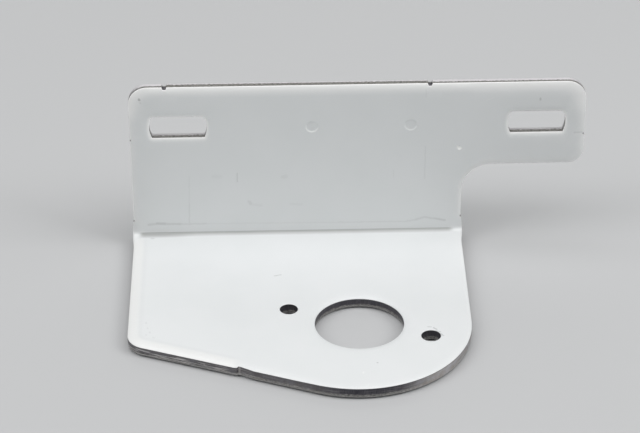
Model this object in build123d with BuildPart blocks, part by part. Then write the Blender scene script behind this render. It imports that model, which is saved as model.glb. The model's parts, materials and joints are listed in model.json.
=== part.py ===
"""Motor mounting bracket, blanked and folded from one piece of plated steel sheet.

The base plate carries a motor on its pilot hole and two screw holes. The flange, whose ear overhangs
the base plate, is screwed to a panel through two slots. Frame, in millimetres: the origin is on the
pilot hole's axis at the base plate's underside, +X runs along the fold towards the ear, +Y points to
the flange and +Z points up.
"""

import os
from math import cos, radians, sin, sqrt

from build123d import *

os.makedirs("parts", exist_ok=True)

# Sheet and fold
sheet = 2.0
fold_inside_radius = 0.7

# The sheet swells sideways where it is folded, and the swelling dies out along both plates
left_swell = 0.22
right_swell = 0.28
swell_reach = 3.2

# Base plate in plan, measured from the pilot hole's axis
left_edge = -38.6
right_edge = 18.75
front_edge = -19.12
nose_radius = 19.0
front_corner_radius = 4.0

# The oblique edge is cut in two hits at slightly different angles, with a nick where they meet
oblique_angle = -22.56
second_cut_angle = -22.03
cuts_meet_x = -20.0

# Flange in front view
flange_face = 28.7
flange_length = 78.4
flange_top = 31.15
ear_underside = 15.12
flange_corner_radius = 3.3
ear_corner_radius = 2.8
ear_root_radius = 5.1

# Motor holes
pilot_diameter = 14.9
screw_spacing = 25.0
screw_line_angle = -20.25
left_screw_diameter = 3.05
right_screw_diameter = 3.25

# Flange slots, cut by a round punch with two flats, so that their ends bow outwards
slot_length = 9.9
slot_height = 4.1
slot_spacing = 61.7
slot_inset = 8.38
slot_level = 23.39
slot_upper_corner_radius = 0.5

# Marks of the press tools: edges rolled by the punch, nicks where two cuts meet, and the rings of
# two ejector pins
die_roll = 0.35
pilot_die_roll = 0.3
small_hole_die_roll = 0.12
top_nicks = (6.25, 51.65)
top_nick_depth = 0.45
side_nick_levels = (4.65, 20.95)
side_nick_depth = 0.25
oblique_nick_depth = 0.3
pin_mark_diameter = 2.0
pin_mark_width = 0.25
pin_mark_depth = 0.06
pin_mark_level = 23.1
pin_mark_spacing = 16.85
pin_mark_inset = 31.62

# Worked out from the dimensions above
fold_start = flange_face - fold_inside_radius
fold_top = sheet + fold_inside_radius
ear_end = left_edge + flange_length
fold_left_end = left_edge - left_swell
fold_right_end = right_edge + right_swell
flange_plane = Plane.XZ.offset(-flange_face)
slot_centres = [(left_edge + slot_inset + step, slot_level) for step in (0, slot_spacing)]
pin_marks = [(left_edge + pin_mark_inset + step, pin_mark_level) for step in (0, pin_mark_spacing)]
lower_nick_level, upper_nick_level = side_nick_levels

# The oblique edge: tangent to the nose up to where the cuts meet, then out to the left edge
nose_centre = Vector(right_edge - nose_radius, front_edge + nose_radius)
first_cut = Vector(cos(radians(oblique_angle)), sin(radians(oblique_angle)))
second_cut = Vector(cos(radians(second_cut_angle)), sin(radians(second_cut_angle)))
outwards = Vector(first_cut.Y, -first_cut.X)
nose_tangent = nose_centre + outwards * nose_radius
cuts_meet = nose_tangent - first_cut * ((nose_tangent.X - cuts_meet_x) / first_cut.X)
front_corner = cuts_meet - second_cut * ((cuts_meet.X - left_edge) / second_cut.X)


def on_punch_side(point):
    """Whether a point is on the skin of the sheet that faces into the fold."""
    on_base = abs(point.Z - sheet) < 0.01 and point.Y < fold_start
    on_flange = abs(point.Y - flange_face) < 0.01 and point.Z > fold_top
    in_fold = fold_start < point.Y < flange_face and sheet < point.Z < fold_top
    return on_base or on_flange or in_fold


def is_fold_seam(edge):
    """Whether an edge is one of the two lines where the fold meets the flat plates."""
    centre = edge.center()
    at_fold = abs(centre.Y - fold_start) < 0.01 or abs(centre.Z - fold_top) < 0.01
    return at_fold and abs(edge.tangent_at(0.5).X) > 0.99


def nick(depth):
    """A square on its point, which leaves a V of this depth in the edge that it is centred on."""
    Rectangle(depth * sqrt(2), depth * sqrt(2), rotation=45)


with BuildPart() as motor_bracket:
    # Base plate, from the nose to the start of the fold
    with BuildSketch() as base_outline:
        with BuildLine():
            back = Line((fold_right_end, fold_start), (fold_left_end, fold_start))
            left = Line((left_edge, fold_start - swell_reach), front_corner)
            Spline(back @ 1, left @ 0, tangents=[(0, -1), (0, -1)])
            Line(left @ 1, cuts_meet)
            Line(cuts_meet, nose_tangent)
            nose = RadiusArc(nose_tangent, (right_edge, nose_centre.Y), -nose_radius)
            right = Line(nose @ 1, (right_edge, fold_start - swell_reach))
            Spline(right @ 1, back @ 0, tangents=[(0, 1), (0, 1)])
        make_face()
        fillet(base_outline.vertices().sort_by_distance(front_corner)[0], front_corner_radius)
    extrude(amount=sheet)

    # The fold, a quarter of a thick tube over the base plate's full width
    fold_centre = (fold_start, fold_top)
    with BuildSketch(Plane.YZ.offset(fold_left_end)):
        with BuildLine():
            inside = CenterArc(fold_centre, fold_inside_radius, -90, 90)
            outside = CenterArc(fold_centre, fold_inside_radius + sheet, -90, 90)
            Line(inside @ 0, outside @ 0)
            Line(inside @ 1, outside @ 1)
        make_face()
    extrude(amount=fold_right_end - fold_left_end)

    # Flange, from the end of the fold to its top edge, with the ear past the base plate
    with BuildSketch(flange_plane) as flange_outline:
        with BuildLine():
            seam = Line((fold_left_end, fold_top), (fold_right_end, fold_top))
            upper_sides = Polyline(
                (right_edge, fold_top + swell_reach),
                (right_edge, ear_underside),
                (ear_end, ear_underside),
                (ear_end, flange_top),
                (left_edge, flange_top),
                (left_edge, fold_top + swell_reach),
            )
            Spline(seam @ 1, upper_sides @ 0, tangents=[(0, 1), (0, 1)])
            Spline(upper_sides @ 1, seam @ 0, tangents=[(0, -1), (0, -1)])
        make_face()
        fillet(flange_outline.vertices().group_by(Axis.Y)[-1], flange_corner_radius)
        fillet(flange_outline.vertices().sort_by_distance((right_edge, ear_underside))[0], ear_root_radius)
        fillet(flange_outline.vertices().sort_by_distance((ear_end, ear_underside))[0], ear_corner_radius)
    extrude(amount=-sheet)

    # Rolled edge along the whole outline, on the side that the punch entered
    skins = motor_bracket.faces().filter_by(lambda face: on_punch_side(face.center()))
    fillet(skins.edges().filter_by(lambda edge: not is_fold_seam(edge)), die_roll)

    # Pilot hole
    with BuildSketch(Plane.XY.offset(sheet)):
        Circle(pilot_diameter / 2)
    extrude(amount=-sheet, mode=Mode.SUBTRACT)
    fillet(motor_bracket.edges(Select.LAST).group_by(Axis.Z)[-1], pilot_die_roll)

    # Two screw holes, on one line with the pilot hole
    with BuildSketch(Plane.XY.offset(sheet)):
        with Locations(Location((0, 0), screw_line_angle)):
            with Locations((-screw_spacing / 2, 0)):
                Circle(left_screw_diameter / 2)
            with Locations((screw_spacing / 2, 0)):
                Circle(right_screw_diameter / 2)
    extrude(amount=-sheet, mode=Mode.SUBTRACT)
    fillet(motor_bracket.edges(Select.LAST).group_by(Axis.Z)[-1], small_hole_die_roll)

    # Flange slots
    with BuildSketch(flange_plane) as slots:
        with Locations(*slot_centres):
            Rectangle(slot_length, slot_height)
        with BuildSketch(mode=Mode.INTERSECT):
            with Locations(*slot_centres):
                Circle(slot_length / 2)
        fillet(slots.vertices().group_by(Axis.Y)[-1], slot_upper_corner_radius)
    extrude(amount=-sheet, mode=Mode.SUBTRACT)
    fillet(motor_bracket.edges(Select.LAST).group_by(Axis.Y)[0], small_hole_die_roll)

    # Nicks in the flange's edges and in the oblique edge
    with BuildSketch(flange_plane):
        with Locations(*[(left_edge + inset, flange_top) for inset in top_nicks]):
            nick(top_nick_depth)
        with Locations(*[(left_edge, level) for level in side_nick_levels]):
            nick(side_nick_depth)
        with Locations((right_edge, lower_nick_level), (ear_end, upper_nick_level)):
            nick(side_nick_depth)
    extrude(amount=-sheet, mode=Mode.SUBTRACT)
    with BuildSketch():
        with Locations(Location(tuple(cuts_meet), oblique_angle)):
            nick(oblique_nick_depth)
    extrude(amount=sheet, mode=Mode.SUBTRACT)

    # Shallow rings left by the ejector pins on the flange
    with BuildSketch(flange_plane):
        with Locations(*pin_marks):
            Circle(pin_mark_diameter / 2)
            Circle(pin_mark_diameter / 2 - pin_mark_width, mode=Mode.SUBTRACT)
    extrude(amount=-pin_mark_depth, mode=Mode.SUBTRACT)

motor_bracket.part.label = "motor_bracket"
export_step(motor_bracket.part, "parts/motor_bracket.step")

print("volume", round(motor_bracket.part.volume, 1), "mm3")
print(motor_bracket.part.bounding_box())
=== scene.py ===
"""Looks of the motor mounting bracket: rolled, sheared and torn edges, the marks of the fold, satin zinc
plating and bare cut steel, with painted shade in the crease and painted light, highlights and glints on
the edges and marks, on a pale floor in soft studio light.

The sheet is drawn in millimetres as a flat blank and then folded. On the blank, u runs along the fold
(the frame's X), v across it along the skin that faces into the fold, from 0 where the fold starts on the
base plate, and w out of that skin, so that it is negative inside the sheet.
"""

import json
from math import atan2, ceil, cos, pi, radians, sin, tan

import bpy
import numpy as np
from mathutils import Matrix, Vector, noise
from mathutils.geometry import delaunay_2d_cdt
from mathutils.kdtree import KDTree


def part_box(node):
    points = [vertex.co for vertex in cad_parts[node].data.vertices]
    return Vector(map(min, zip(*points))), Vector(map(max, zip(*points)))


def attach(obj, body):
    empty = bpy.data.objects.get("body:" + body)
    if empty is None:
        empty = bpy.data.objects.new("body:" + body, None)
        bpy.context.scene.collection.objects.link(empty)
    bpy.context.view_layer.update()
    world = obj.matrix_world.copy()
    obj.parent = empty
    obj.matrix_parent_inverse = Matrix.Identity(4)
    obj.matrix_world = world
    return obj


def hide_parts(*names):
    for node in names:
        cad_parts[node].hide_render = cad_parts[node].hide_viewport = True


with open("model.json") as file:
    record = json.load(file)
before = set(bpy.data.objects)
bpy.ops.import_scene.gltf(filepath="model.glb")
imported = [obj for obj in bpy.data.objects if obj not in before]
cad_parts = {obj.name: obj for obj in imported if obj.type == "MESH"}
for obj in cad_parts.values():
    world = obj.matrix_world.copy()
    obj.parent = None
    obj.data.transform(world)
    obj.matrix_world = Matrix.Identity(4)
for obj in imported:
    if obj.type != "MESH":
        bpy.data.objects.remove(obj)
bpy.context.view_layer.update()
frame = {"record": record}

# ---------------------------------------------------------------- sizes, in millimetres
low, high = (np.array(corner) * 1000 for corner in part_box("motor_bracket"))
mounts = {mount["name"]: mount for mount in frame["record"]["mounts"]}
motor_screws = mounts["motor_screw_holes"]
slot_mount = mounts["panel_slots"]

# The sheet and its outline
sheet = mounts["base_top"]["pos_m"][2] * 1000
fold_radius = 0.7
flange_length = 78.4
flange_top = high[2]
flange_face = high[1] - sheet
ear_end = high[0]
left_edge = ear_end - flange_length
right_edge = 18.75
front_edge = low[1]
nose_radius = 19.0
front_corner_radius = 4.0
oblique_angle = radians(-22.56)
second_cut_angle = radians(-22.03)
cuts_meet_u = -20.0
ear_underside = 15.12
flange_corner_radius = 3.3
ear_corner_radius = 2.8
ear_root_radius = 5.1

# The sheet swells sideways at both ends of the fold
fold_swells = (0.22, 0.28)
swell_reach = 3.6

# Holes
pilot_radius = mounts["pilot_hole"]["dims"]["r_mm"]
screw_pitch = motor_screws["dims"]["pcd_mm"]
screw_angle = radians(-20.25)
screw_radii = (1.525, 1.625)
slot_length = slot_mount["dims"]["slot_length_mm"]
slot_height = slot_mount["dims"]["hole_r_mm"] * 2
slot_spacing = slot_mount["dims"]["spacing_x_mm"]
slot_middle, _, slot_level = (1000 * value for value in slot_mount["pos_m"])
slot_upper_radius = 0.5
slot_lower_radius = 0.12

# Nicks where two cuts meet: their shapes are given along the edge and into it
top_nicks = (6.25, 51.65)
top_nick = ((-0.42, 0.0), (-0.24, 0.42), (0.24, 0.42), (0.42, 0.0))
side_nick_levels = (4.65, 20.95)
side_nick = ((-0.25, 0.0), (0.0, 0.3), (0.25, 0.0))
ear_nick = ((-0.36, 0.0), (0.0, 0.42), (0.36, 0.0))
oblique_nick = ((-0.42, 0.0), (-0.3, 0.3), (0.3, 0.28), (2.6, 0.0))
nick_radius = 0.12

# Dishes left by two ejector pins, and a small dent beside the ear
pin_marks = ((-7.2, 23.25), (9.78, 23.3))
pin_mark_rim = (0.86, 1.16)
pin_mark_depth = 0.13
# How strongly each dish's lower edge is drawn with a painted highlight
pin_mark_highlight = (0.5, 0.2)
dent = (18.2, 18.6)
dent_rim = (0.08, 0.46)
dent_depth = 0.16

# Rolled rims: how far the edge has sunk, and over what width
pilot_roll = (0.3, 1.8)
screw_roll = (0.07, 0.8)
slot_roll = (0.24, 1.2)
outline_depth = 0.15
outline_width = 1.1
roll_power = 2.5
edge_radius = 0.08

# The crease in the fold, below the flange's face, and its groove
crease_below_flange = 0.4
crease_depth = 0.035
crease_half_width = 0.11

# Cut edges: sheared down to this share of the sheet, torn below, with a burr at the foot
wall_rings = 13
burnish_share = 0.6
torn_step = 0.02
torn_slope = 0.05
torn_roughness = 0.018
foot_inset = 0.08
burr_depth = 0.06

# How zinc-plated and how streaked the slots' cut edges are, and how pale the holes' and slots' are
slot_looks = (0.85, 0.75)
hole_paleness = 0.04

# Worked out
fold_start = flange_face - fold_radius
fold_top = sheet + fold_radius
fold_length = fold_radius * pi / 2
crease = fold_length - crease_below_flange


def on_base(y):
    """v of a line across the base plate."""
    return y - fold_start


def on_flange(z):
    """v of a level on the flange."""
    return fold_length + z - fold_top


# ---------------------------------------------------------------- outlines on the flat blank
outline_step = 0.22
fold_step = 0.09
fold_zone = (-0.5, fold_length + 0.7)


def straight(start, end):
    """Points from start up to end, closer together where the sheet is folded."""
    middle = (start[1] + end[1]) / 2
    step = fold_step if fold_zone[0] < middle < fold_zone[1] else outline_step
    count = max(1, ceil(np.linalg.norm(end - start) / step))
    return [start + (end - start) * i / count for i in range(count)]


def rounded(corners):
    """A closed run of points round corners given as (u, v, radius)."""
    places = [np.array(corner[:2]) for corner in corners]
    turns = []
    for i, (_, _, radius) in enumerate(corners):
        arrive = places[i] - places[i - 1]
        leave = places[(i + 1) % len(corners)] - places[i]
        arrive, leave = arrive / np.linalg.norm(arrive), leave / np.linalg.norm(leave)
        turn = atan2(arrive[0] * leave[1] - arrive[1] * leave[0], arrive @ leave)
        if not radius:
            turns.append([places[i]])
            continue
        side = 1 if turn > 0 else -1
        start = places[i] - arrive * radius * tan(abs(turn) / 2)
        centre = start + np.array((-arrive[1], arrive[0])) * radius * side
        count = max(2, ceil(radius * abs(turn) / outline_step))
        arms = [(cos(turn * k / count), sin(turn * k / count)) for k in range(count + 1)]
        x, y = start - centre
        turns.append([centre + (x * c - y * s, x * s + y * c) for c, s in arms])
    points = []
    for i, turn in enumerate(turns):
        points += turn[:-1] + straight(turn[-1], turns[(i + 1) % len(turns)][0])
    return np.array(points)


def nicked(middle, direction, shape):
    """Corners of a nick that is met while travelling along direction."""
    direction = np.array(direction)
    inward = np.array((-direction[1], direction[0]))
    return [(*(middle + direction * along + inward * deep), nick_radius) for along, deep in shape]


def blank_corners(with_nicks):
    """The blank's corners, counter-clockwise from the front of the left edge."""
    first = np.array((cos(oblique_angle), sin(oblique_angle)))
    second = np.array((cos(second_cut_angle), sin(second_cut_angle)))
    outward = np.array((first[1], -first[0]))
    nose = np.array((right_edge - nose_radius, on_base(front_edge + nose_radius)))
    tangent = nose + outward * nose_radius
    meeting = tangent - first * (tangent[0] - cuts_meet_u) / first[0]
    front_corner = meeting - second * (meeting[0] - left_edge) / second[0]
    nose_corner = tangent + first * (right_edge - tangent[0]) / first[0]

    def nick(u, v, direction, shape):
        return nicked(np.array((u, v)), direction, shape) if with_nicks else []

    top = on_flange(flange_top)
    lower, upper = (on_flange(level) for level in side_nick_levels)
    return [
        (*front_corner, front_corner_radius),
        *(nick(*meeting, first, oblique_nick) or [(*meeting, 0)]),
        (*nose_corner, nose_radius),
        (right_edge, fold_zone[0], 0),
        (right_edge, fold_zone[1], 0),
        *nick(right_edge, lower, (0, 1), side_nick),
        (right_edge, on_flange(ear_underside), ear_root_radius),
        (ear_end, on_flange(ear_underside), ear_corner_radius),
        *nick(ear_end, upper, (0, 1), ear_nick),
        (ear_end, top, flange_corner_radius),
        *nick(left_edge + top_nicks[1], top, (-1, 0), top_nick),
        *nick(left_edge + top_nicks[0], top, (-1, 0), top_nick),
        (left_edge, top, flange_corner_radius),
        *nick(left_edge, upper, (0, -1), side_nick),
        *nick(left_edge, lower, (0, -1), side_nick),
        (left_edge, fold_zone[1], 0),
        (left_edge, fold_zone[0], 0),
    ]


def swelling(u, v):
    """How far the sheet's two edges swell outwards beside the fold."""
    away = np.abs(v - fold_length / 2) / swell_reach
    swell = np.where(away < 1, 0.5 + 0.5 * np.cos(pi * np.minimum(away, 1)), 0)
    left, right = fold_swells
    at_left = np.where(np.abs(u - left_edge) < 1, -left * swell, 0)
    at_right = np.where(np.abs(u - right_edge) < 1, right * swell, 0)
    return at_left + at_right


def round_hole(u, y, radius):
    """A hole's rim, clockwise, so that the metal is on the left like everywhere else."""
    count = max(64, ceil(2 * pi * radius / outline_step))
    angles = -2 * pi * np.arange(count) / count
    return np.stack((u + radius * np.cos(angles), on_base(y) + radius * np.sin(angles)), axis=1)


def slot_outline(u):
    """A slot with flat sides and ends that bow outwards, clockwise from its upper right corner."""
    reach = slot_length / 2
    spread = np.arcsin(slot_height / 2 / reach)
    v = on_flange(slot_level)
    steps = 8
    corners = []
    for side in (1, -1):
        for k in range(steps + 1):
            angle = spread * (1 - 2 * k / steps)
            across = side * reach * cos(angle)
            up = side * reach * sin(angle)
            radius = 0
            if k in (0, steps):
                radius = slot_upper_radius if up > 0 else slot_lower_radius
            corners.append((u + across, v + up, radius))
    return rounded(corners)


blank = rounded(blank_corners(True))
smooth_blank = rounded(blank_corners(False))
for line in (blank, smooth_blank):
    line[:, 0] += swelling(line[:, 0], line[:, 1])
screw_places = [
    (side * screw_pitch / 2 * cos(screw_angle), side * screw_pitch / 2 * sin(screw_angle))
    for side in (-1, 1)
]
round_holes = [round_hole(0, 0, pilot_radius)]
round_holes += [round_hole(*place, radius) for place, radius in zip(screw_places, screw_radii)]
slots = [slot_outline(slot_middle + side * slot_spacing / 2) for side in (-1, 1)]
loops = [blank, *round_holes, *slots]


# ---------------------------------------------------------------- fields over the blank
def distance(points, outlines):
    """Distance from each point to the nearest of these closed outlines."""
    corners = np.concatenate(outlines)
    after = np.concatenate([np.roll(outline, -1, axis=0) for outline in outlines])
    before = np.concatenate([np.roll(outline, 1, axis=0) for outline in outlines])
    tree = KDTree(len(corners))
    for index, corner in enumerate(corners):
        tree.insert((*corner, 0), index)
    tree.balance()
    nearest = np.array([[index for _, index, _ in tree.find_n((*point, 0), 3)] for point in points])
    best = np.full(len(points), np.inf)
    for column in nearest.T:
        offset = points - corners[column]
        for side in (after[column] - corners[column], before[column] - corners[column]):
            share = np.clip((offset * side).sum(1) / (side**2).sum(1), 0, 1)
            best = np.minimum(best, np.linalg.norm(offset - share[:, None] * side, axis=1))
    return best


def step_up(value, start, end):
    """0 below start, 1 above end and a smooth rise between."""
    share = np.clip((value - start) / (end - start), 0, 1)
    return share * share * (3 - 2 * share)


def wander(along, across=0.0, pace=1.0):
    """Smooth noise from about -1 to 1."""
    layer = 7.3
    places = [Vector((a * pace, b * pace, layer)) for a, b in np.broadcast(along, across)]
    return np.array([noise.noise(place) * 1.6 for place in places])


def outline_roll(u, v):
    """Depth and width of the rolled edge near a place on the blank's outline.

    Both are largest round the left front corner and at the flange's upper corners.
    """
    flange = step_up(v, 2, 4)
    past_nick = step_up(u, cuts_meet_u - 1, cuts_meet_u)
    left = (1 - flange) * (1 - past_nick)
    middle = (1 - flange) * past_nick * (1 - step_up(u, -12, -4))
    top_edge = on_flange(flange_top)
    top = step_up(v, top_edge - 4, top_edge - 1.5)
    corner = step_up(v, top_edge - 7, top_edge - 3)
    corner *= 1 - step_up(np.minimum(u - left_edge, ear_end - u), 1.5, 4.5)
    ear = step_up(u, right_edge, right_edge + 4)
    depth = outline_depth + 0.25 * left + 0.08 * middle + 0.1 * flange
    depth += 0.12 * np.maximum(top, corner)
    width = outline_width + 1.1 * left + 0.7 * middle
    width += 0.8 * top * (1 - corner) + 1.9 * corner + 0.6 * ear
    return depth, width


def roll(away, depth, width):
    """How far a rolled edge has sunk at this distance from it."""
    return depth * np.clip(1 - away / width, 0, 1) ** roll_power


def painted_rim_highlight(points, away):
    """Strength of the painted highlight on the rolled rims; away is each point's distance from the
    outline.
    """
    depth, width = outline_roll(*points.T)
    outline = np.clip(1 - away / (1.1 * width), 0, 1) ** 1.5 * depth / 0.37
    return np.maximum(outline, 0.9 * np.clip(1.15 - distance(points, slots) / 0.5, 0, 1))


def dished(points, middle, level, rim, depth):
    """How far a round mark on the flange has sunk; rim gives where its slope starts and ends."""
    away = np.hypot(points[:, 0] - middle, points[:, 1] - on_flange(level))
    return depth * (1 - step_up(away, *rim))


def inner_skin(points):
    """w of the skin that faces into the fold."""
    u, v = points.T
    sunk = roll(distance(points, [smooth_blank]), *outline_roll(u, v))
    sunk = np.maximum(sunk, roll(distance(points, round_holes[:1]), *pilot_roll))
    sunk = np.maximum(sunk, roll(distance(points, round_holes[1:]), *screw_roll))
    sunk = np.maximum(sunk, roll(distance(points, slots), *slot_roll))
    near_edge = np.clip(1 - distance(points, loops) / edge_radius, 0, 1)
    sunk += edge_radius * (1 - np.sqrt(1 - near_edge**2))
    past_start = step_up(u, left_edge + 0.4, left_edge + 1.6)
    on_crease = past_start * (1 - step_up(u, right_edge - 1.6, right_edge - 0.4))
    sunk += crease_depth * on_crease * np.exp(-(((v - crease) / crease_half_width) ** 2))
    for middle, level in pin_marks:
        sunk += dished(points, middle, level, pin_mark_rim, pin_mark_depth)
    sunk += dished(points, *dent, dent_rim, dent_depth)
    return -sunk


# ---------------------------------------------------------------- triangles
def inward(loop):
    """Unit vectors from a loop's points into the metal."""
    along = np.roll(loop, -1, axis=0) - np.roll(loop, 1, axis=0)
    along /= np.linalg.norm(along, axis=1)[:, None]
    return np.stack((-along[:, 1], along[:, 0]), axis=1)


def inside(points, outlines):
    """Whether each point is in the metal: inside an odd number of these closed outlines."""
    starts = np.concatenate(outlines)
    ends = np.concatenate([np.roll(outline, -1, axis=0) for outline in outlines])
    found = []
    for part in np.array_split(points, ceil(len(points) / 1000)):
        x, y = part[:, :1], part[:, 1:]
        spans = (starts[:, 1] > y) != (ends[:, 1] > y)
        rise = np.where(ends[:, 1] == starts[:, 1], 1, ends[:, 1] - starts[:, 1])
        crossing = starts[:, 0] + (y - starts[:, 1]) * (ends[:, 0] - starts[:, 0]) / rise
        found.append((spans & (crossing > x)).sum(1) % 2 == 1)
    return np.concatenate(found)


def mark_rings(centre, reach):
    """Rings of points over a small round mark."""
    apart = 0.07
    along = 0.12
    rings = [centre[None]]
    for radius in np.arange(apart, reach + 0.05, apart):
        angles = np.arange(ceil(2 * pi * radius / along)) * along / radius
        rings.append(centre + radius * np.stack((np.cos(angles), np.sin(angles)), axis=1))
    return np.concatenate(rings)


def skin_points(edges, rings, spacing, fold_lines, round_marks=()):
    """Points inside the outlines: rings at the edges, a grid, lines along the fold, and round marks."""
    near = []
    for loop in edges:
        for ring, (offset, every) in enumerate(rings):
            points = (loop + inward(loop) * offset)[ring % every :: every]
            # Leave out those that fall outside, or too close to the edge round a corner
            near.append(points[inside(points, edges) & (distance(points, edges) > offset * 0.94)])
    last = rings[-1][0]
    band = (fold_lines[0] - spacing * 0.6, fold_lines[-1] + spacing * 0.6)
    rows = np.arange(blank[:, 1].min(), blank[:, 1].max(), spacing * 0.87)
    columns = np.arange(left_edge, ear_end, spacing)
    grid = np.array([(u + (i % 2) * spacing / 2, v) for i, v in enumerate(rows) for u in columns])
    grid = grid[(grid[:, 1] < band[0]) | (grid[:, 1] > band[1])]
    near_line = distance(grid, edges)
    grid = grid[inside(grid, edges) & (near_line > last + spacing * 0.5)]
    lines = np.array([(u, v) for v in fold_lines for u in np.arange(left_edge, right_edge, 0.7)])
    lines = lines[inside(lines, edges) & (distance(lines, edges) > last + 0.1)]
    for (middle, level), reach in round_marks:
        centre = np.array((middle, on_flange(level)))
        grid = grid[np.linalg.norm(grid - centre, axis=1) > reach + 0.25]
        lines = lines[np.linalg.norm(lines - centre, axis=1) > reach + 0.1]
        near.append(mark_rings(centre, reach))
    return np.concatenate([*near, grid, lines])


def filled(edges, points):
    """Triangles that fill the outlines, and where each outline's points are among the vertices."""
    everything = np.concatenate([*edges, points])
    sides = []
    start = 0
    for loop in edges:
        count = len(loop)
        sides += [(start + i, start + (i + 1) % count) for i in range(count)]
        start += count
    vectors = [Vector(point) for point in everything]
    verts, _, faces, origins, _, _ = delaunay_2d_cdt(vectors, sides, [], 1, 1e-6)
    verts, faces = np.array([tuple(vert) for vert in verts]), np.array(faces)
    place = np.zeros(len(everything), int)
    for index, sources in enumerate(origins):
        for source in sources:
            place[source] = index
    rims = place[:start]
    bridging = np.flatnonzero(np.isin(faces, rims).all(axis=1))
    outside = bridging[~inside(verts[faces[bridging]].mean(axis=1), edges)]
    return verts, np.delete(faces, outside, axis=0), rims


def folded(u, v, w):
    """The blank's points in the frame, once it is folded."""
    angle = np.clip(v / fold_length, 0, 1) * pi / 2
    radius = fold_radius - w
    y = fold_start + np.minimum(v, 0) + radius * np.sin(angle)
    z = fold_top + np.maximum(v - fold_length, 0) - radius * np.cos(angle)
    return np.stack((u, y, z), axis=1)


def wall(loop, top):
    """Rings of points down a cut edge, with w, how torn and how deep they are, and lengths along it."""
    steps = np.linalg.norm(np.roll(loop, -1, axis=0) - loop, axis=1)
    along = np.concatenate(([0], np.cumsum(steps)[:-1]))
    normal = inward(loop)
    u, v = loop.T

    # Noise is read round a circle as long as the edge, so that its end meets its start
    angle = 2 * pi * along / steps.sum()
    radius = steps.sum() / (2 * pi)
    ring_u, ring_v = radius * np.cos(angle), radius * np.sin(angle)
    border = burnish_share + 0.05 * (wander(ring_u, ring_v, 0.9) + wander(ring_u, ring_v, 4.0))
    at_top = step_up(v, on_flange(flange_top) - 0.6, on_flange(flange_top) - 0.3)
    rings = []
    for k in range(wall_rings + 1):
        share = k / wall_rings
        torn = step_up(share - border, -0.03, 0.06)
        rough = wander(ring_u + 40 * share, ring_v, 3.0)
        slope = torn_slope * (share - border) / (1 - border)
        inset = torn * (slope + torn_step + torn_roughness * rough)
        burred = at_top * step_up(share, 0.8, 1)
        inset += foot_inset * step_up(share, 0.9, 1) + burred * burr_depth * (1 + wander(u, 0, 2.3))
        moved = loop + normal * np.maximum(inset, 0)[:, None]
        moved[:, 0] -= swelling(u, v) * share * 0.8
        rings.append((moved, top * (1 - share) - sheet * share, torn, np.full(len(loop), share), along))
    return rings


def cut_looks(loop):
    """How zinc-plated, how pale and how streaked a cut edge is along its length, each from 0 to 1."""
    u, v = loop.T
    if loop is not blank:
        plated, streaked = slot_looks if v.mean() > fold_length else (0.0, 0.0)
        return [np.full(len(loop), look) for look in (plated, hole_paleness, streaked)]

    # The flange's top edge is plated, except in its nicks, and streaked between them
    top = step_up(v, on_flange(flange_top) - 2.5, on_flange(flange_top) - 0.3)
    first, second = (left_edge + inset for inset in top_nicks)
    between_nicks = step_up(u, first - 0.3, first + 0.3) * (1 - step_up(u, second - 0.3, second + 0.3))
    in_nick = top * step_up(distance(loop, [smooth_blank]), 0.04, 0.15)
    plated = top * (1 - in_nick)

    # The other edges are streaked at the left, where the light streaks are painted glints, and painted
    # light makes them a little paler there and much paler at the right. Where the two oblique cuts meet,
    # the edge has a dark line and a pale one.
    # Painted light: paler where the edges face the side lamps, most at the right
    left = 1 - step_up(u, -10, -1)
    right = step_up(u, 4.5, 13) * (1 - 0.3 * step_up(u, 13, right_edge))
    in_overshoot = (u - cuts_meet_u) / 0.13
    pale = (0.18 * left + 0.75 * right) * (1 - in_nick)
    pale = pale * (1 - 0.8 * np.exp(-((in_overshoot + 2.8) ** 2))) + 0.6 * np.exp(-(in_overshoot**2))
    streaked = 0.1 + 0.75 * (1 - step_up(u, cuts_meet_u - 8, cuts_meet_u + 6))
    return plated, pale, np.where(top > 0, between_nicks, streaked)


# ---------------------------------------------------------------- the piece
# Rings of points beside the edges: how far from them, and every how many of the outline's points
inner_rings = (
    (0.008, 1),
    (0.03, 1),
    (0.06, 1),
    (0.1, 1),
    (0.18, 1),
    (0.32, 2),
    (0.5, 2),
    (0.75, 3),
    (1.1, 4),
    (1.5, 5),
    (1.95, 6),
)
outer_rings = ((0.1, 1), (0.3, 2), (0.7, 4))
inner_spacing = 1.1
outer_spacing = 1.8
inner_lines = sorted(
    {round(fold_length * k / 10, 3) for k in range(11)}
    | {round(crease + 0.07 * k, 3) for k in range(-4, 6)}
    | {-1.2, -0.7, -0.3}
)
outer_lines = [round(fold_length * k / 14, 3) for k in range(15)]
round_marks = [(place, pin_mark_rim[1] + 0.1) for place in pin_marks] + [(dent, dent_rim[1] + 0.1)]
look_names = ("torn", "depth", "plated", "pale", "streaked")

# The distance from the outline that is given to vertices off the inner skin
far = 9.0


def add_looks(layers, grain, **looks):
    """Adds some vertices' looks to the layers; a look that isn't given is 0."""
    layers["grain"].append(grain)
    for name in look_names:
        layers[name].append(np.full(len(grain), looks.get(name, 0.0)))


def add_cut_edges(cut_edges, rims, back_rims, verts, layers):
    """Adds the rings of points down the cut edges, and gives the quads that join them to both skins."""
    offset = len(verts[0])
    back_offset = offset + sum(len(loop) for loop in loops) * (wall_rings - 1)
    quads = []
    start = 0
    for loop, rings in zip(loops, cut_edges):
        count = len(loop)
        rows = [rims[start : start + count]]
        plated, pale, streaked = cut_looks(loop)
        for moved, w, torn, depth, along in rings[1:-1]:
            rows.append(np.arange(offset, offset + count))
            verts.append(np.column_stack((moved, w)))
            grain = np.column_stack((along, depth * sheet))
            add_looks(layers, grain, torn=torn, depth=depth, plated=plated, pale=pale, streaked=streaked)
            offset += count
        rows.append(back_rims[start : start + count] + back_offset)
        for upper, lower in zip(rows, rows[1:]):
            quads.append(np.column_stack((upper, lower, np.roll(lower, -1), np.roll(upper, -1))))
        start += count
    return np.concatenate(quads)


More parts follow.
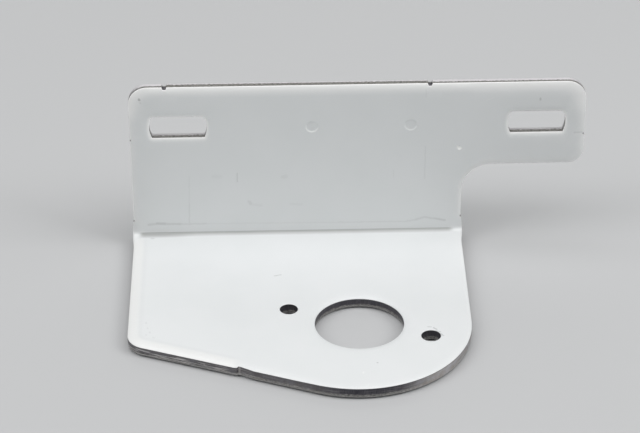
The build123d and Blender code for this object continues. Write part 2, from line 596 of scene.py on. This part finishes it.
def sheet_geometry():
    """The flat sheet's vertices, the triangles of its skins, the quads of its edges, and its looks."""
    points = skin_points(loops, inner_rings, inner_spacing, inner_lines, round_marks)
    flat, faces, rims = filled(loops, points)
    heights = inner_skin(flat)
    cut_edges = []
    start = 0
    for loop in loops:
        cut_edges.append(wall(loop, heights[rims[start : start + len(loop)]]))
        start += len(loop)
    bottoms = [rings[-1][0] for rings in cut_edges]
    back_points = skin_points(bottoms, outer_rings, outer_spacing, outer_lines)
    flat_back, back_faces, back_rims = filled(bottoms, back_points)

    verts = [np.column_stack((flat, heights))]
    layers = {name: [] for name in ("grain", *look_names)}
    add_looks(layers, flat)
    quads = add_cut_edges(cut_edges, rims, back_rims, verts, layers)
    back_offset = sum(len(part) for part in verts)
    verts.append(np.column_stack((flat_back, np.full(len(flat_back), -sheet))))
    add_looks(layers, flat_back, depth=1.0)
    triangles = np.concatenate((faces, back_faces[:, ::-1] + back_offset))

    layers = {name: np.concatenate(parts) for name, parts in layers.items()}
    away = distance(flat, [smooth_blank])
    elsewhere = len(layers["depth"]) - len(flat)
    layers["inner"] = 1 - layers["depth"]
    layers["rim"] = np.concatenate((away, np.full(elsewhere, far)))
    # How strongly the painted rim highlight is drawn at each vertex
    layers["shine"] = np.concatenate((painted_rim_highlight(flat, away), np.zeros(elsewhere)))
    return np.concatenate(verts), triangles, quads, layers


def make_bracket():
    """The whole folded sheet as one closed mesh, with its cut edges on the second material."""
    uvw, triangles, quads, layers = sheet_geometry()
    places = folded(*uvw.T) / 1000
    mesh = bpy.data.meshes.new("motor_bracket_sheet")
    mesh.from_pydata(places.tolist(), [], triangles.tolist() + quads.tolist())
    mesh.polygons.foreach_set("material_index", [0] * len(triangles) + [1] * len(quads))
    mesh.polygons.foreach_set("use_smooth", [True] * len(mesh.polygons))
    mesh.set_sharp_from_angle(angle=radians(40))
    grain = np.column_stack((layers.pop("grain"), uvw[:, 2]))
    for name, values in layers.items():
        layer = mesh.attributes.new(name, "FLOAT", "POINT")
        layer.data.foreach_set("value", values.astype(np.float32))
    layer = mesh.attributes.new("grain", "FLOAT_VECTOR", "POINT")
    layer.data.foreach_set("vector", grain.astype(np.float32).ravel())
    mesh.validate()
    mesh.update()
    piece = bpy.data.objects.new("folded_sheet", mesh)
    bpy.context.scene.collection.objects.link(piece)
    print("folded_sheet", len(mesh.vertices), "vertices", len(triangles) + 2 * len(quads), "triangles")
    return piece


# ---------------------------------------------------------------- materials
# Plating
zinc = (0.74, 0.755, 0.76, 1)
zinc_light = (0.79, 0.805, 0.81, 1)
zinc_cool = (0.72, 0.745, 0.745, 1)
# A painted highlight for the rolled rims
rim_highlight_colour = (0.98, 0.975, 0.965, 1)
zinc_cream = (0.83, 0.815, 0.78, 1)
# Rubbed plating, and the colour of painted highlights on the pin marks and the dent
rubbed_zinc_and_highlight = (0.97, 0.97, 0.96, 1)
rim_line = (0.4, 0.4, 0.4, 1)
# Stains and marks, and one painted shadow
stain_and_painted_shadow = (0.16, 0.165, 0.16, 1)
# Painted shade for the crease in the fold
painted_crease_shade = (0.13, 0.13, 0.12, 1)

# Cut steel
sheared_dark = (0.036, 0.034, 0.046, 1)
sheared_light = (0.075, 0.072, 0.084, 1)
torn_dark = (0.12, 0.115, 0.11, 1)
torn_light = (0.4, 0.39, 0.38, 1)
# Pale: painted light where cut edges face the side lamps, a faint tone in holes, and a line where cuts
# meet
pale_warm = (0.5, 0.46, 0.43, 1)
pale_cool = (0.64, 0.625, 0.645, 1)
# Painted glints on the streaks of cut edges
streak_glint = (0.72, 0.7, 0.69, 1)
streak_dark = (0.07, 0.068, 0.07, 1)
foot_light = (0.5, 0.49, 0.48, 1)
mottle_dark = (0.11, 0.11, 0.1, 1)
mottle_light = (0.3, 0.29, 0.27, 1)
plated_torn = (0.72, 0.7, 0.72, 1)


def node(tree, kind, inputs=None, **settings):
    """A shader node with its settings, and its inputs linked or given values."""
    made = tree.nodes.new("ShaderNode" + kind)
    for name, value in settings.items():
        setattr(made, name, value)
    for name, value in (inputs or {}).items():
        if isinstance(value, bpy.types.NodeSocket):
            tree.links.new(value, made.inputs[name])
        else:
            made.inputs[name].default_value = value
    return made


def mixed(tree, share, first, second):
    """One colour going over into another."""
    made = node(tree, "Mix", {0: share, 6: first, 7: second}, data_type="RGBA")
    return made.outputs[2]


def between(tree, value, start, end, low_value=0.0, high_value=1.0):
    """A value's rise from start to end, as a smooth step."""
    inputs = {"Value": value, 1: start, 2: end, 3: low_value, 4: high_value}
    return node(tree, "MapRange", inputs, interpolation_type="SMOOTHSTEP").outputs[0]


def speckle(tree, where, scale, detail=3.0, stretch=(1, 1, 1)):
    """Noise from 0 to 1, stretched along the axes."""
    spread = node(tree, "Mapping", {"Vector": where, "Scale": stretch}).outputs[0]
    return node(tree, "TexNoise", {"Vector": spread, "Scale": scale, "Detail": detail}).outputs[0]


def new_material(name):
    """A material with its node tree, its shader, and the blank's coordinates."""
    material = bpy.data.materials.new(name)
    material.use_nodes = True
    tree = material.node_tree
    shader = tree.nodes["Principled BSDF"]
    where = node(tree, "Attribute", attribute_name="grain").outputs["Vector"]
    return material, tree, shader, where


def link(tree, value, shader, name):
    """Joins a value to one of the shader's sockets."""
    tree.links.new(value, shader.inputs[name])


def product(tree, first, second):
    """Two values multiplied."""
    return node(tree, "Math", {0: first, 1: second}, operation="MULTIPLY").outputs[0]


def vector_math(tree, operation, first, second):
    """Two vectors combined; a dot product or a distance comes out as a plain value."""
    made = node(tree, "VectorMath", {0: first, 1: second}, operation=operation)
    return made.outputs["Value" if operation in ("DOT_PRODUCT", "DISTANCE") else "Vector"]


def scaled(tree, vector, factor):
    """A vector times a value."""
    return node(tree, "VectorMath", {0: vector, "Scale": factor}, operation="SCALE").outputs["Vector"]


def attribute(tree, name):
    """A vertex value of the mesh."""
    return node(tree, "Attribute", attribute_name=name).outputs["Fac"]


# Scratches, specks and stains, and a painted shadow, on the skin that faces into the fold, each with its
# two ends, half width, softness and strength
def placed(marks, level):
    """Marks with their ends on the blank; level works out v."""
    return [((a[0], level(a[1])), (b[0], level(b[1])), *rest) for a, b, *rest in marks]


def flange_marks():
    """Marks on the flange, by the frame's X and Z."""
    marks = [
        # a speck and a painted shadow beside it in the upper left corner
        ((-36.66, 29.08), (-36.62, 29.0), 0.12, 0.18, 0.4),
        ((-36.48, 28.45), (-36.44, 28.42), 0.08, 0.18, 0.1),
        # short upright dash and the smudges beside it
        ((-20.26, 14.13), (-20.26, 12.51), 0.03, 0.18, 0.16),
        ((-24.4, 13.6), (-23.3, 13.55), 0.1, 0.5, 0.04),
        ((-12.3, 13.3), (-11.8, 13.36), 0.1, 0.45, 0.07),
        # stain with a tail
        ((-18.25, 8.35), (-18.05, 8.0), 0.1, 0.4, 0.12),
        ((-17.95, 7.8), (-16.2, 7.6), 0.05, 0.4, 0.05),
        ((-11.0, 7.8), (-9.2, 7.65), 0.05, 0.4, 0.05),
        # draw lines, upright
        ((-28.6, 13.7), (-28.75, 8.2), 0.02, 0.2, 0.05),
        ((-28.75, 8.2), (-28.84, 3.9), 0.02, 0.2, 0.09),
        ((-28.79, 7.74), (-28.79, 7.68), 0.06, 0.18, 0.1),
        ((12.39, 18.9), (12.31, 12.5), 0.02, 0.18, 0.08),
        ((12.36, 30.0), (12.36, 28.8), 0.02, 0.2, 0.05),
        ((6.9, 14.2), (6.9, 12.8), 0.02, 0.2, 0.05),
        # specks beside the right slot
        ((31.96, 28.1), (31.98, 27.8), 0.06, 0.18, 0.26),
        ((38.1, 21.22), (39.3, 21.27), 0.05, 0.25, 0.14),
        # upper border of the band that the folding tool pressed
        ((-36.0, 4.0), (-34.6, 4.2), 0.03, 0.35, 0.16),
        ((-34.6, 4.2), (-33.1, 4.12), 0.04, 0.38, 0.24),
        ((-33.1, 4.12), (-30.4, 4.02), 0.03, 0.3, 0.18),
        ((-30.4, 4.02), (-25.8, 4.02), 0.02, 0.25, 0.11),
        ((-25.8, 4.02), (-2.7, 3.86), 0.02, 0.22, 0.05),
        ((-2.7, 3.86), (9.3, 3.83), 0.02, 0.22, 0.08),
        ((9.3, 3.83), (10.8, 4.1), 0.02, 0.3, 0.11),
        ((10.8, 4.1), (12.4, 4.6), 0.02, 0.34, 0.14),
        ((12.4, 4.6), (14.2, 4.3), 0.02, 0.32, 0.15),
        ((14.2, 4.3), (16.0, 3.95), 0.03, 0.3, 0.2),
    ]
    return placed(marks, on_flange)


def base_marks():
    """Marks on the base plate, by the frame's X and Y."""
    marks = [
        ((-14.06, 14.54), (-12.99, 14.89), 0.04, 0.16, 0.3),
        ((2.5, -12.0), (2.58, -12.05), 0.06, 0.12, 0.35),
        ((-35.5, 27.35), (-35.2, 27.3), 0.1, 0.25, 0.2),
        # grains along the left edge
        ((-35.6, 0.9), (-35.55, 0.6), 0.05, 0.2, 0.1),
        ((-35.3, -0.7), (-35.25, -0.9), 0.05, 0.2, 0.09),
        ((-34.9, -1.9), (-34.85, -2.2), 0.05, 0.2, 0.1),
        ((-35.5, -2.6), (-35.45, -3.0), 0.05, 0.2, 0.08),
        ((-34.3, -3.6), (-34.1, -3.7), 0.05, 0.2, 0.08),
        # rubbed patch behind the right screw hole
        ((11.3, -1.8), (11.9, -1.9), 0.04, 0.16, 0.24),
        ((12.3, -2.1), (12.8, -2.6), 0.05, 0.16, 0.3),
        ((12.6, -3.0), (13.3, -3.3), 0.05, 0.16, 0.26),
        ((13.4, -3.9), (13.8, -4.5), 0.05, 0.16, 0.32),
    ]
    return placed(marks, on_base)


def painted_arc_highlight(middle, level, strength):
    """A painted highlight on the lower edge of a round mark, where its slope faces up."""
    centre = np.array((middle, on_flange(level)))
    angles = np.radians((195, 230, 265, 300, 340))
    arms = np.stack((np.cos(angles), np.sin(angles)), axis=1)
    points = centre + (pin_mark_rim[1] - 0.06) * arms
    return [(tuple(start), tuple(end), 0.03, 0.12, strength) for start, end in zip(points, points[1:])]


def bright_marks():
    """Places where the plating is rubbed bright, and painted highlights on the pin marks and the dent."""
    arcs = [painted_arc_highlight(*place, strength) for place, strength in zip(pin_marks, pin_mark_highlight)]
    return sum(arcs, []) + [
        # a painted highlight on the dent beside the ear
        ((17.95, on_flange(18.75)), (18.0, on_flange(18.65)), 0.12, 0.16, 0.9),
        ((18.25, on_flange(18.45)), (18.45, on_flange(18.5)), 0.16, 0.2, 1.0),
        # plating rubbed bright
        ((22.7, on_flange(27.8)), (23.9, on_flange(28.4)), 0.02, 0.14, 0.12),
        ((0.16, on_base(-14.6)), (0.14, on_base(-15.0)), 0.05, 0.15, 0.3),
    ]


def mark_field(tree, where, marks):
    """The strongest of these marks at each place on the blank."""
    strongest = None
    for start, end, half_width, softness, strength in marks:
        along = np.subtract(end, start)
        offset = vector_math(tree, "SUBTRACT", where, (*start, 0))
        step = (*(along / (along @ along)), 0)
        share = vector_math(tree, "DOT_PRODUCT", offset, step)
        share = node(tree, "Clamp", {"Value": share}).outputs[0]
        nearest = scaled(tree, (*along, 0), share)
        apart = vector_math(tree, "DISTANCE", offset, nearest)
        mark = between(tree, apart, half_width, half_width + softness, strength, 0)
        if strongest:
            mark = node(tree, "Math", {0: strongest, 1: mark}, operation="MAXIMUM").outputs[0]
        strongest = mark
    return strongest


def crease_shade(tree, u, v):
    """Painted shade in the fold's crease: sharp above, fading towards the base plate, wider at its left
    end.
    """
    left_end = between(tree, u, left_edge + 2.0, left_edge + 14.0, 1, 0)
    foot = between(tree, left_end, 0, 1, -0.2, -0.6)
    heart = between(tree, left_end, 0, 1, crease - 0.05, crease - 0.3)
    upper = between(tree, v, crease - 0.02, crease + 0.22, 1, 0)
    lower = node(tree, "MapRange", {"Value": v, 1: foot, 2: heart, 3: 0.0, 4: 1.0}).outputs[0]
    along = product(
        tree,
        between(tree, u, left_edge + 0.2, left_edge + 2.0),
        between(tree, u, right_edge - 2.6, right_edge - 0.5, 1, 0),
    )
    return product(tree, product(tree, upper, lower), between(tree, along, 0, 1))


def wandering(tree, where):
    """Places on the blank, moved a little by noise, so that marks aren't drawn with a ruler."""
    ragged = node(tree, "TexNoise", {"Vector": where, "Scale": 1.3, "Detail": 3.0}).outputs["Color"]
    ragged = scaled(tree, vector_math(tree, "SUBTRACT", ragged, (0.5, 0.5, 0.5)), 0.3)
    return vector_math(tree, "MULTIPLY", vector_math(tree, "ADD", where, ragged), (1, 1, 0))


def rolled_rims(tree, colour, u, v):
    """Painted highlights on the rolled rims, and the cream rim with its inner line round the left front
    corner.
    """
    rim = attribute(tree, "rim")
    worked = product(tree, between(tree, v, 0, -2), between(tree, u, -19, -22))
    # A painted highlight on the rolled rims, stronger on the flange than on the base plate
    rim_highlight_share = product(tree, attribute(tree, "shine"), between(tree, v, 2, 4, 0.25, 0.9))
    colour = mixed(tree, rim_highlight_share, colour, rim_highlight_colour)
    cream = product(tree, between(tree, rim, 1.2, 2.2, 0.25, 0), worked)
    colour = mixed(tree, cream, colour, zinc_cream)
    inner_line = product(tree, between(tree, rim, 1.5, 2.0), between(tree, rim, 2.1, 2.8, 0.07, 0))
    return mixed(tree, product(tree, inner_line, worked), colour, rim_line)


def plated_steel():
    """Satin electroplated zinc: even and light, a fine grain, small marks, painted highlights and painted
    crease shade.
    """
    material, tree, shader, where = new_material("plated_steel")
    fine = speckle(tree, where, 9.0, 4.0)
    broad = speckle(tree, where, 0.12, 2.0)
    colour = mixed(tree, between(tree, fine, 0.3, 0.7), zinc, zinc_light)
    colour = mixed(tree, between(tree, broad, 0.3, 0.7, 0, 0.3), colour, zinc_cool)

    place = node(tree, "SeparateXYZ", {"Vector": where})
    u, v = place.outputs["X"], place.outputs["Y"]
    colour = rolled_rims(tree, colour, u, v)

    inner = attribute(tree, "inner")
    ragged = wandering(tree, where)
    dark = product(tree, mark_field(tree, ragged, flange_marks() + base_marks()), inner)
    # Rubbed plating, and painted highlights on the pin marks and the dent
    bright = product(tree, mark_field(tree, ragged, bright_marks()), inner)
    crease_dark = product(tree, crease_shade(tree, u, v), inner)
    # Stains and marks on the plating, with a painted shadow beside one speck
    colour = mixed(tree, dark, colour, stain_and_painted_shadow)
    colour = mixed(tree, bright, colour, rubbed_zinc_and_highlight)
    # Painted shade darkens the crease in the fold
    colour = mixed(tree, product(tree, crease_dark, 0.6), colour, painted_crease_shade)

    link(tree, colour, shader, "Base Color")
    shader.inputs["Metallic"].default_value = 0.2
    link(tree, between(tree, fine, 0.2, 0.8, 0.5, 0.62), shader, "Roughness")
    bump = node(tree, "Bump", {"Height": fine, "Strength": 0.12, "Distance": 0.00002})
    link(tree, bump.outputs[0], shader, "Normal")
    return material


def streaked_edge(tree, where, colour, depth, streaked):
    """Light and dark streaks along a cut edge; the light ones are painted glints."""
    streaks = speckle(tree, where, 1.0, 1.5, (0.3, 5.5, 0.0))
    # Painted glints along the striations
    light = product(tree, between(tree, streaks, 0.53, 0.6), between(tree, depth, 0.1, 0.3))
    colour = mixed(tree, product(tree, light, streaked), colour, streak_glint)
    dark = product(tree, between(tree, streaks, 0.34, 0.46, 1, 0), between(tree, depth, 0.3, 0.5))
    return mixed(tree, product(tree, dark, streaked), colour, streak_dark)


def plated_edge(tree, grain, depth, streaked):
    """A zinc-plated cut edge: mottled and dark where it is sheared, light where it is torn."""
    border = node(tree, "Math", {0: streaked, 1: -0.26, 2: depth}, operation="MULTIPLY_ADD").outputs[0]
    border = node(tree, "Math", {0: grain, 1: 0.5, 2: border}, operation="MULTIPLY_ADD").outputs[0]
    mottled = mixed(tree, between(tree, grain, 0.38, 0.6), mottle_dark, mottle_light)
    return mixed(tree, between(tree, border, 0.5, 0.66), mottled, plated_torn)


def cut_steel():
    """The cut edge: a smooth sheared band under the rim, then a rougher torn one, partly zinc-plated."""
    material, tree, shader, where = new_material("cut_steel")
    torn, depth, plated, pale, streaked = (attribute(tree, name) for name in look_names)
    upright = speckle(tree, where, 1.0, 3.0, (5.0, 0.5, 0.0))
    grain = speckle(tree, where, 1.0, 4.0, (2.2, 5.0, 0.0))
    blotches = speckle(tree, where, 1.0, 3.0, (0.6, 0.9, 0.0))
    sheared = mixed(tree, between(tree, upright, 0.3, 0.7), sheared_dark, sheared_light)
    broken = mixed(tree, between(tree, grain, 0.35, 0.65), torn_dark, torn_light)
    light = mixed(tree, between(tree, blotches, 0.35, 0.65), pale_warm, pale_cool)
    colour = mixed(tree, torn, sheared, broken)
    # Painted light on the edges that face the side lamps
    colour = mixed(tree, pale, colour, light)
    colour = streaked_edge(tree, where, colour, depth, streaked)
    foot = product(tree, between(tree, depth, 0.8, 0.88), between(tree, depth, 0.92, 1.0, 1, 0))
    colour = mixed(tree, product(tree, foot, 0.4), colour, foot_light)
    colour = mixed(tree, plated, colour, plated_edge(tree, grain, depth, streaked))

    link(tree, colour, shader, "Base Color")
    shader.inputs["Metallic"].default_value = 0.5
    link(tree, between(tree, torn, 0.0, 1.0, 0.42, 0.6), shader, "Roughness")
    bump = node(tree, "Bump", {"Height": grain, "Strength": 0.35, "Distance": 0.00005})
    link(tree, bump.outputs[0], shader, "Normal")
    return material


# ---------------------------------------------------------------- studio
def softbox(name, place, aim, width, height, power, tint=(1.0, 1.0, 1.0)):
    """A rectangular lamp that faces a point; sizes in metres."""
    lamp = bpy.data.lights.new(name, "AREA")
    lamp.shape = "RECTANGLE"
    lamp.size = width
    lamp.size_y = height
    lamp.energy = power
    lamp.color = tint
    holder = bpy.data.objects.new(name, lamp)
    holder.location = place
    holder.rotation_euler = (Vector(aim) - Vector(place)).to_track_quat("-Z", "Y").to_euler()
    bpy.context.scene.collection.objects.link(holder)


def make_floor():
    """A plain pale floor, just under the base plate."""
    half = 4.0
    level = -0.0003
    mesh = bpy.data.meshes.new("floor")
    corners = [(-half, -half, level), (half, -half, level), (half, half, level), (-half, half, level)]
    mesh.from_pydata(corners, [], [(0, 1, 2, 3)])
    material = bpy.data.materials.new("pale_floor")
    material.use_nodes = True
    paint = material.node_tree.nodes["Principled BSDF"]
    paint.inputs["Base Color"].default_value = (0.5, 0.505, 0.51, 1)
    paint.inputs["Roughness"].default_value = 0.9
    paint.inputs["Specular IOR Level"].default_value = 0.1
    mesh.materials.append(material)
    floor = bpy.data.objects.new("floor", mesh)
    bpy.context.scene.collection.objects.link(floor)


def make_lights():
    """Four softboxes and an even fill."""
    softbox("overhead", (-0.03, -0.13, 0.9), (0, 0, 0), 1.1, 0.8, 5.9, (1.0, 0.985, 1.0))
    softbox("behind", (0, 0.9, 0.6), (0, 0, 0), 1.4, 0.6, 1.9)
    softbox("left", (-0.75, -0.22, 0.68), (0, 0, 0.01), 0.5, 0.5, 2.5)
    softbox("right", (0.75, -0.22, 0.68), (0, 0, 0.01), 0.5, 0.5, 3.9)
    world = bpy.data.worlds.new("studio")
    bpy.context.scene.world = world
    world.use_nodes = True
    fill = world.node_tree.nodes["Background"]
    fill.inputs["Color"].default_value = (0.955, 1.0, 0.965, 1)
    fill.inputs["Strength"].default_value = 0.2


def make_camera():
    """A long lens that looks down at the flange from the front, placed to match the photo."""
    lens = bpy.data.cameras.new("camera")
    lens.lens = 150.25
    lens.sensor_width = 36
    lens.clip_start = 0.01
    lens.clip_end = 20
    holder = bpy.data.objects.new("camera", lens)
    holder.location = (-0.01309, -0.37017, 0.25065)
    holder.rotation_euler = (radians(58.386), radians(0.367), radians(-1.254))
    bpy.context.scene.collection.objects.link(holder)
    bpy.context.scene.camera = holder


bracket = make_bracket()
bracket.data.materials.append(plated_steel())
bracket.data.materials.append(cut_steel())
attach(bracket, "root")
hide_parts("motor_bracket")
make_floor()
make_lights()
make_camera()
bpy.context.scene.view_settings.view_transform = "Standard"
